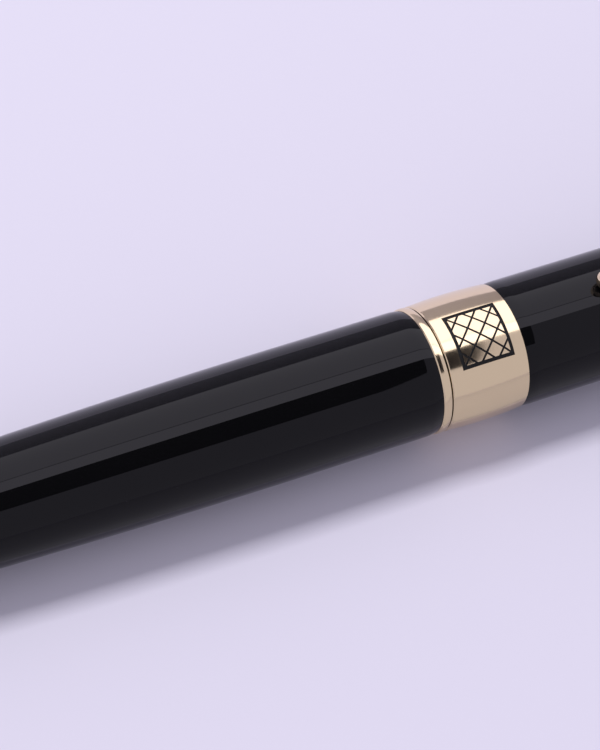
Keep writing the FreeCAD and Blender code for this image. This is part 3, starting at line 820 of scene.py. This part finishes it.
def tab(mesh, x0, x1, half_width, low, high, bevel):
    """The block that carries the arm, its top corners rounded."""
    round_over = 0.55 * MM
    quarter = [math.pi / 2 * step / 6 for step in range(7)]
    outline = [(-half_width, low), (half_width, low)]
    for side, turns in ((1, quarter), (-1, quarter[::-1])):
        for a in turns:
            y = half_width - round_over + round_over * math.cos(a)
            outline.append((side * y, high - round_over + round_over * math.sin(a)))
    layers = []
    middle = (low + high) / 2
    for x, inset in ((x0, bevel), (x0 + bevel, 0.0), (x1 - bevel, 0.0), (x1, bevel)):
        layer = []
        for y, z in outline:
            shrink_y = 1 - inset / half_width
            shrink_z = 1 - inset / (high - middle)
            layer.append(mesh.verts.new((x, y * shrink_y, AXIS + middle + (z - middle) * shrink_z)))
        layers.append(layer)
    count = len(outline)
    for layer, after in zip(layers, layers[1:]):
        for step in range(count):
            on = (step + 1) % count
            mesh.faces.new([layer[step], layer[on], after[on], after[step]])
    mesh.faces.new(layers[0])
    mesh.faces.new(layers[-1])


def arm_loft(mesh, ball_x, ball_height, ball_radius, root_x, root_height, root_half):
    """The clip from its ball to its root: a bar that widens and thickens, run together with the ball."""
    tip_half, tip_thick, root_thick, rise = 0.65 * MM, 0.35 * MM, 0.45 * MM, 0.5 * MM
    end_bevel, end_stretch = 0.10 * MM, 0.24 * MM
    steps, ball_rows = 64, 28
    places = [ball_x - ball_radius * math.cos(math.pi * row / ball_rows) for row in range(1, ball_rows)]
    places += spaced(ball_x + ball_radius, root_x - 0.25 * MM, 70, 1.2)[1:] + [root_x - 0.1 * MM, root_x]
    rings = []
    for x in places:
        along = max(0.0, (x - ball_x) / (root_x - ball_x))
        middle = ball_height + (root_height - ball_height) * along + 4 * rise * along * (1 - along)
        half_y = tip_half + (root_half - tip_half) * along
        half_z = tip_thick + (root_thick - tip_thick) * along
        if root_x - x < end_stretch:
            inset = end_bevel * (1 - (root_x - x) / end_stretch)
            half_y, half_z = half_y - inset, half_z - inset
        on_ball = math.sqrt(max(0.0, ball_radius**2 - (x - ball_x) ** 2))
        grown = min(1.0, max(0.0, (x - ball_x) / (0.4 * ball_radius)))
        ring = []
        for step in range(steps):
            a = math.tau * step / steps
            c, s = abs(math.cos(a)), abs(math.sin(a))
            on_bar = grown * ((c / half_y) ** 5 + (s / half_z) ** 5) ** (-1 / 5)
            r = (on_bar**7 + on_ball**7) ** (1 / 7)
            centre = middle if on_ball == 0 else ball_height + (middle - ball_height) * grown
            ring.append(mesh.verts.new((x, r * math.cos(a), AXIS + centre + r * math.sin(a))))
        rings.append(ring)
    tip = mesh.verts.new((ball_x - ball_radius, 0, AXIS + ball_height))
    for step in range(steps):
        mesh.faces.new([tip, rings[0][(step + 1) % steps], rings[0][step]])
    for ring, after in zip(rings, rings[1:]):
        for step in range(steps):
            on = (step + 1) % steps
            mesh.faces.new([ring[step], ring[on], after[on], after[step]])
    mesh.faces.new(rings[-1])


class PEN_OT_section(bpy.types.Operator):
    """Turn the threaded coupler, the grip, its front ring and the nose cone"""

    bl_idname = "pen.section"
    bl_label = "Grip section"

    def execute(self, context):
        sizes = settings().section
        thread_back, coupler_front = ends("section_coupler")
        bore, crest = radii("section_coupler", thread_back)
        back, front = ends("grip_section")
        spigot = radii("section_coupler", coupler_front)[1]
        run_length, run_gap = 0.6 * MM, 0.2 * MM

        def thread(x, a):
            """How deep the right-hand thread is cut at x, a turn of a round the pen."""
            run_in, run_out = (x - thread_back) / run_length, (back - run_gap - x) / run_length
            fade = min(1.0, max(0.0, run_in), max(0.0, run_out))
            phase = (x / sizes.pitch + a / math.tau) % 1.0
            return sizes.thread_depth * (1 - abs(2 * phase - 1)) * fade if x < back else 0.0

        threaded = [(x, crest) for x in spaced(thread_back, back, 150)]
        points = [(thread_back, bore), *threaded, (back, spigot), (coupler_front, spigot), (coupler_front, bore)]
        turned_piece("threaded_coupler", points, "section", "raw_brass", "section_coupler", 96, thread, 60.0)

        wide, narrow = radii("grip_section", back)[1], radii("grip_section", front)[1]
        inner, narrow_bore = spigot, radii("grip_section", front)[0]
        ring_x0, ring_x1 = ends("snap_ring")
        play = 0.05 * MM
        groove0, groove1 = ring_x0 - play, ring_x1 + play
        groove = radii("snap_ring", ring_x0)[0] - play
        straight, front_edge = 12.0 * MM, 0.25 * MM
        taper = arc((back + straight, wide), (front - front_edge, narrow), 36)
        points = [
            *section_of(
                (back, inner),
                (back, wide, 0.18 * MM),
                (groove0, wide, 0.08 * MM),
                (groove0, groove),
                (groove1, groove),
                (groove1, wide, 0.08 * MM),
                (back + straight - 0.1 * MM, wide),
            ),
            *taper[:-1],
            *section_of((front - front_edge, narrow), (front, narrow - 0.1 * MM), (front, narrow_bore)),
            (coupler_front, narrow_bore),
            (coupler_front, inner),
        ]
        turned_piece("resin_grip", points, "section", "black_resin", "grip_section", sharp=40.0)

        ring_piece("grip_front_ring", "section_front_ring", "section", steps=128)
        x0, x1 = ends("nose_cone")
        (cone_bore, base), (mouth, tip) = radii("nose_cone", x0), radii("nose_cone", x1)
        line_at, line_depth, line_round = 2.4 * MM, 0.07 * MM, 0.02 * MM
        shoulder_back, collar_back, collar_bore = x1 - 1.85 * MM, x1 - 4.85 * MM, 1.78 * MM

        def cone(along):
            return base + (tip - base) / (x1 - x0) * along

        points = section_of(
            (x0, cone_bore),
            (x0, base, 0.08 * MM),
            (x0 + line_at, cone(line_at)),
            (x0 + line_at + 0.04 * MM, cone(line_at) - line_depth, line_round),
            (x0 + line_at + 0.24 * MM, cone(line_at + 0.2 * MM) - line_depth, line_round),
            (x0 + line_at + 0.28 * MM, cone(line_at + 0.28 * MM)),
            (x1, tip, 0.16 * MM),
            (x1, mouth, 0.06 * MM),
            (shoulder_back, mouth),
            (shoulder_back, collar_bore),
            (collar_back, cone_bore),
        )
        turned_piece("gold_nose_cone", points, "section", "pale_gold", "nose_cone", steps=128, sharp=25.0)
        return {"FINISHED"}


class PEN_OT_refill(bpy.types.Operator):
    """Turn the refill's writing point and its ball"""

    bl_idname = "pen.refill"
    bl_label = "Writing point"

    def execute(self, context):
        back, front = ends("refill_point")
        mouth = radii("refill_point", front)[1]
        shoulder = ends("refill_nose")[1]
        shank = radii("refill_nose", shoulder)[1]
        bore = radii("refill_point", back)[0]
        root = radii("refill_nose", shoulder)[0]
        line, waist = shoulder + 0.9 * MM, shank - 0.06 * MM
        socket = mouth - 0.08 * MM
        points = section_of(
            (back, bore),
            (back, root),
            (shoulder, root),
            (shoulder, shank),
            (line, shank),
            (line + 0.05 * MM, waist),
            (line + 0.2 * MM, waist),
            (line + 0.25 * MM, shank),
            (front - 1.3 * MM, shank, 0.12 * MM),
            (front - 0.12 * MM, mouth + 0.05 * MM),
            (front, mouth, 0.03 * MM),
            (front, socket),
            (front - 0.5 * MM, socket),
            (front - 0.7 * MM, bore),
        )
        turned_piece("writing_point", points, "refill", "nickel_silver", "refill_point", 96, sharp=30.0)
        low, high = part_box("writing_ball")
        centre, radius = (low + high) / 2, (high.x - low.x) / 2
        mesh = bmesh.new()
        bmesh.ops.create_icosphere(mesh, subdivisions=4, radius=radius, matrix=Matrix.Translation(centre))
        add_piece("rolling_ball", mesh, "refill", "steel", ["writing_ball"])
        return {"FINISHED"}


class PEN_OT_fittings(bpy.types.Operator):
    """Give the CAD parts that stay in view their own finishes"""

    bl_idname = "pen.fittings"
    bl_label = "Fittings"

    KEPT = {
        "thread_bush": "raw_brass",
        "tail_screw": "steel",
        "refill_spring": "steel",
        "refill_tube": "refill_plastic",
        "refill_end_plug": "ink_blue",
        "ink_reservoir": "fibre",
        "feed_wick": "fibre",
        "refill_nose": "ink_blue",
        "snap_ring": "steel",
        "inner_cap": "black_resin",
        "cap_end_plug": "raw_brass",
        "finial_screw": "steel",
    }

    def execute(self, context):
        for node, slot in self.KEPT.items():
            part = parts[node]
            if not part.material_slots:
                part.data.materials.append(finish_of(slot))
            for held in part.material_slots:
                held.material = finish_of(slot)
        return {"FINISHED"}


# ---------------------------------------------------------------- stage

CEILING = 1.2  # metres above the floor


def soft_light(name, x, y, brightness, colour, mirrored):
    """A level light at the ceiling, either mirrored in the pen or lighting it; x and y are its two ends each way."""
    light = bpy.data.lights.new(name, "AREA")
    light.shape = "RECTANGLE"
    light.size, light.size_y = x[1] - x[0], y[1] - y[0]
    light.energy = brightness * math.pi * light.size * light.size_y
    light.color = colour
    lamp = bpy.data.objects.new(name, light)
    lamp.location = (sum(x) / 2, sum(y) / 2, CEILING)
    lamp.visible_camera = False
    lamp.visible_glossy, lamp.visible_diffuse = mirrored, not mirrored
    bpy.context.scene.collection.objects.link(lamp)


def flat_sheet(name, x, y, z, material, cells=1):
    """A level sheet at height z; x and y are its two ends each way."""
    mesh = bmesh.new()
    bmesh.ops.create_grid(mesh, x_segments=cells, y_segments=cells, size=0.5)
    for vert in mesh.verts:
        across, along = vert.co.x * (x[1] - x[0]), vert.co.y * (y[1] - y[0])
        vert.co = (sum(x) / 2 + across, sum(y) / 2 + along, z)
    data = bpy.data.meshes.new(name)
    mesh.to_mesh(data)
    mesh.free()
    data.materials.append(material)
    sheet = bpy.data.objects.new(name, data)
    bpy.context.scene.collection.objects.link(sheet)
    return sheet


def reflection_sheet_finish(name, first, second):
    """Dull, slightly mottled sheet for the painted reflections."""
    finish = Finish(name)
    finish.paint(base_colour=finish.blend(finish.grain(20), first, second), roughness=0.9)
    return finish.material


def floor_finish():
    colour = settings().stage.floor
    finish = Finish("floor_paper", ior=1.0)
    clouds = finish.grain(9, 2)
    tooth = finish.grain(2600, 2)
    finish.paint(
        base_colour=finish.blend(clouds, darker(colour, 0.985), colour),
        roughness=0.62 + 0.1 * tooth,
    )
    finish.relief(tooth, 3e-6)
    return finish.material


class PEN_OT_stage(bpy.types.Operator):
    """Lay the floor, hang the lights and set the camera"""

    bl_idname = "pen.stage"
    bl_label = "Stage"

    def execute(self, context):
        sizes = settings().stage
        scene = context.scene
        scene.view_settings.view_transform = "Standard"
        world = bpy.data.worlds.new("surround")
        world.use_nodes = True
        world.node_tree.nodes["Background"].inputs["Color"].default_value = (*sizes.sky, 1)
        scene.world = world
        flat_sheet("floor", (-4, 4), (-4, 4), 0.0, floor_finish(), 8)

        cool, key = (0.97, 0.95, 1.0), (1.0, 0.985, 1.0)
        soft_light("back_panel", (-2.0, 2.6), (0.262, 2.045), 1.1, cool, True)
        soft_light("top_panel", (-2.0, 2.6), (-0.135, 0.238), 1.3, cool, True)
        soft_light("key_panel", (-0.35, -0.05), (0.36, 0.66), 39.0, key, False)

        # cards that only the gloss mirrors, painted reflections that block no light: one black overhead, a painted
        # dark reflection; one grey wall, a painted grey reflection; one grey before the pen, a painted reflection of
        # the pen's shadow on the floor
        dark_reflection_finish = reflection_sheet_finish("dark_reflection_card", (0.015, 0.015, 0.016), (0.02, 0.02, 0.021))
        grey_reflection_finish = reflection_sheet_finish("grey_reflection_card", (0.46, 0.45, 0.49), (0.48, 0.47, 0.51))
        # painted reflection: a black sheet that only the gloss shows, a dark patch in the lacquer and gold that
        # lights and shades nothing
        black = flat_sheet("dark_reflection_card", (-2.0, 0.50), (-0.96, -0.135), CEILING, dark_reflection_finish)
        for vert in black.data.vertices:
            if vert.co.x > 0 and vert.co.y < -0.5:
                vert.co.x = 0.575
        # painted reflection: a grey wall that only the gloss shows, lighting and shading nothing
        wall = flat_sheet("grey_reflection_card", (-2.5, 2.5), (-0.42, 0.42), 0.0, grey_reflection_finish)
        wall.rotation_euler.x = math.pi / 2
        wall.location = (0.0, 1.5, 0.425)
        # painted shade: a grey sheet before the pen that only the gloss shows, the floor's shadow under the pen
        # mirrored in the lacquer and gold
        shadow_apron = flat_sheet("floor_shadow_reflection_card", (-0.6, 0.6), (-0.5, -0.0095), 0.05 * MM, grey_reflection_finish)
        for card in (black, wall, shadow_apron):
            card.visible_camera = card.visible_diffuse = card.visible_shadow = False

        camera = bpy.data.cameras.new("camera")
        camera.lens = sizes.lens
        camera.sensor_width = 36
        held = bpy.data.objects.new("camera", camera)
        scene.collection.objects.link(held)
        a, e, roll = sizes.azimuth, sizes.elevation, sizes.roll
        back = Vector((math.sin(a) * math.cos(e), -math.cos(a) * math.cos(e), math.sin(e)))
        level = Vector((math.cos(a), math.sin(a), 0))
        upright = back.cross(level)
        right = level * math.cos(roll) + upright * math.sin(roll)
        up = upright * math.cos(roll) - level * math.sin(roll)
        aim = Vector((BAND_MIDDLE, 0, AXIS))
        eye = aim + back * sizes.distance - right * sizes.across - up * sizes.above
        held.matrix_world = Matrix.Translation(eye) @ Matrix((right, up, back)).transposed().to_4x4()
        scene.camera = held
        return {"FINISHED"}


# ---------------------------------------------------------------- add-on


OPERATORS = (
    PEN_OT_stage,
    PEN_OT_barrel,
    PEN_OT_cap,
    PEN_OT_band,
    PEN_OT_clip,
    PEN_OT_section,
    PEN_OT_refill,
    PEN_OT_fittings,
)


class PEN_PT_pen(bpy.types.Panel):
    """Everything that makes the pen"""

    bl_label = "Rollerball Pen"
    bl_idname = "PEN_PT_pen"
    bl_space_type = "VIEW_3D"
    bl_region_type = "UI"
    bl_category = "Pen"

    def draw(self, context):
        layout = self.layout
        for operator in OPERATORS:
            layout.operator(operator.bl_idname)
        for group in GROUPS:
            box = layout.box()
            held = getattr(context.scene.pen, group)
            box.label(text=group.title())
            for name in held.__annotations__:
                box.prop(held, name)


CLASSES = (*GROUPS.values(), PenSettings, *OPERATORS, PEN_PT_pen)


def register():
    for each in CLASSES:
        bpy.utils.register_class(each)
    bpy.types.Scene.pen = bpy.props.PointerProperty(type=PenSettings)


def unregister():
    del bpy.types.Scene.pen
    for each in reversed(CLASSES):
        bpy.utils.unregister_class(each)


def main():
    register()
    for operator in OPERATORS:
        group, name = operator.bl_idname.split(".")
        getattr(getattr(bpy.ops, group), name)()


if __name__ == "__main__":
    main()
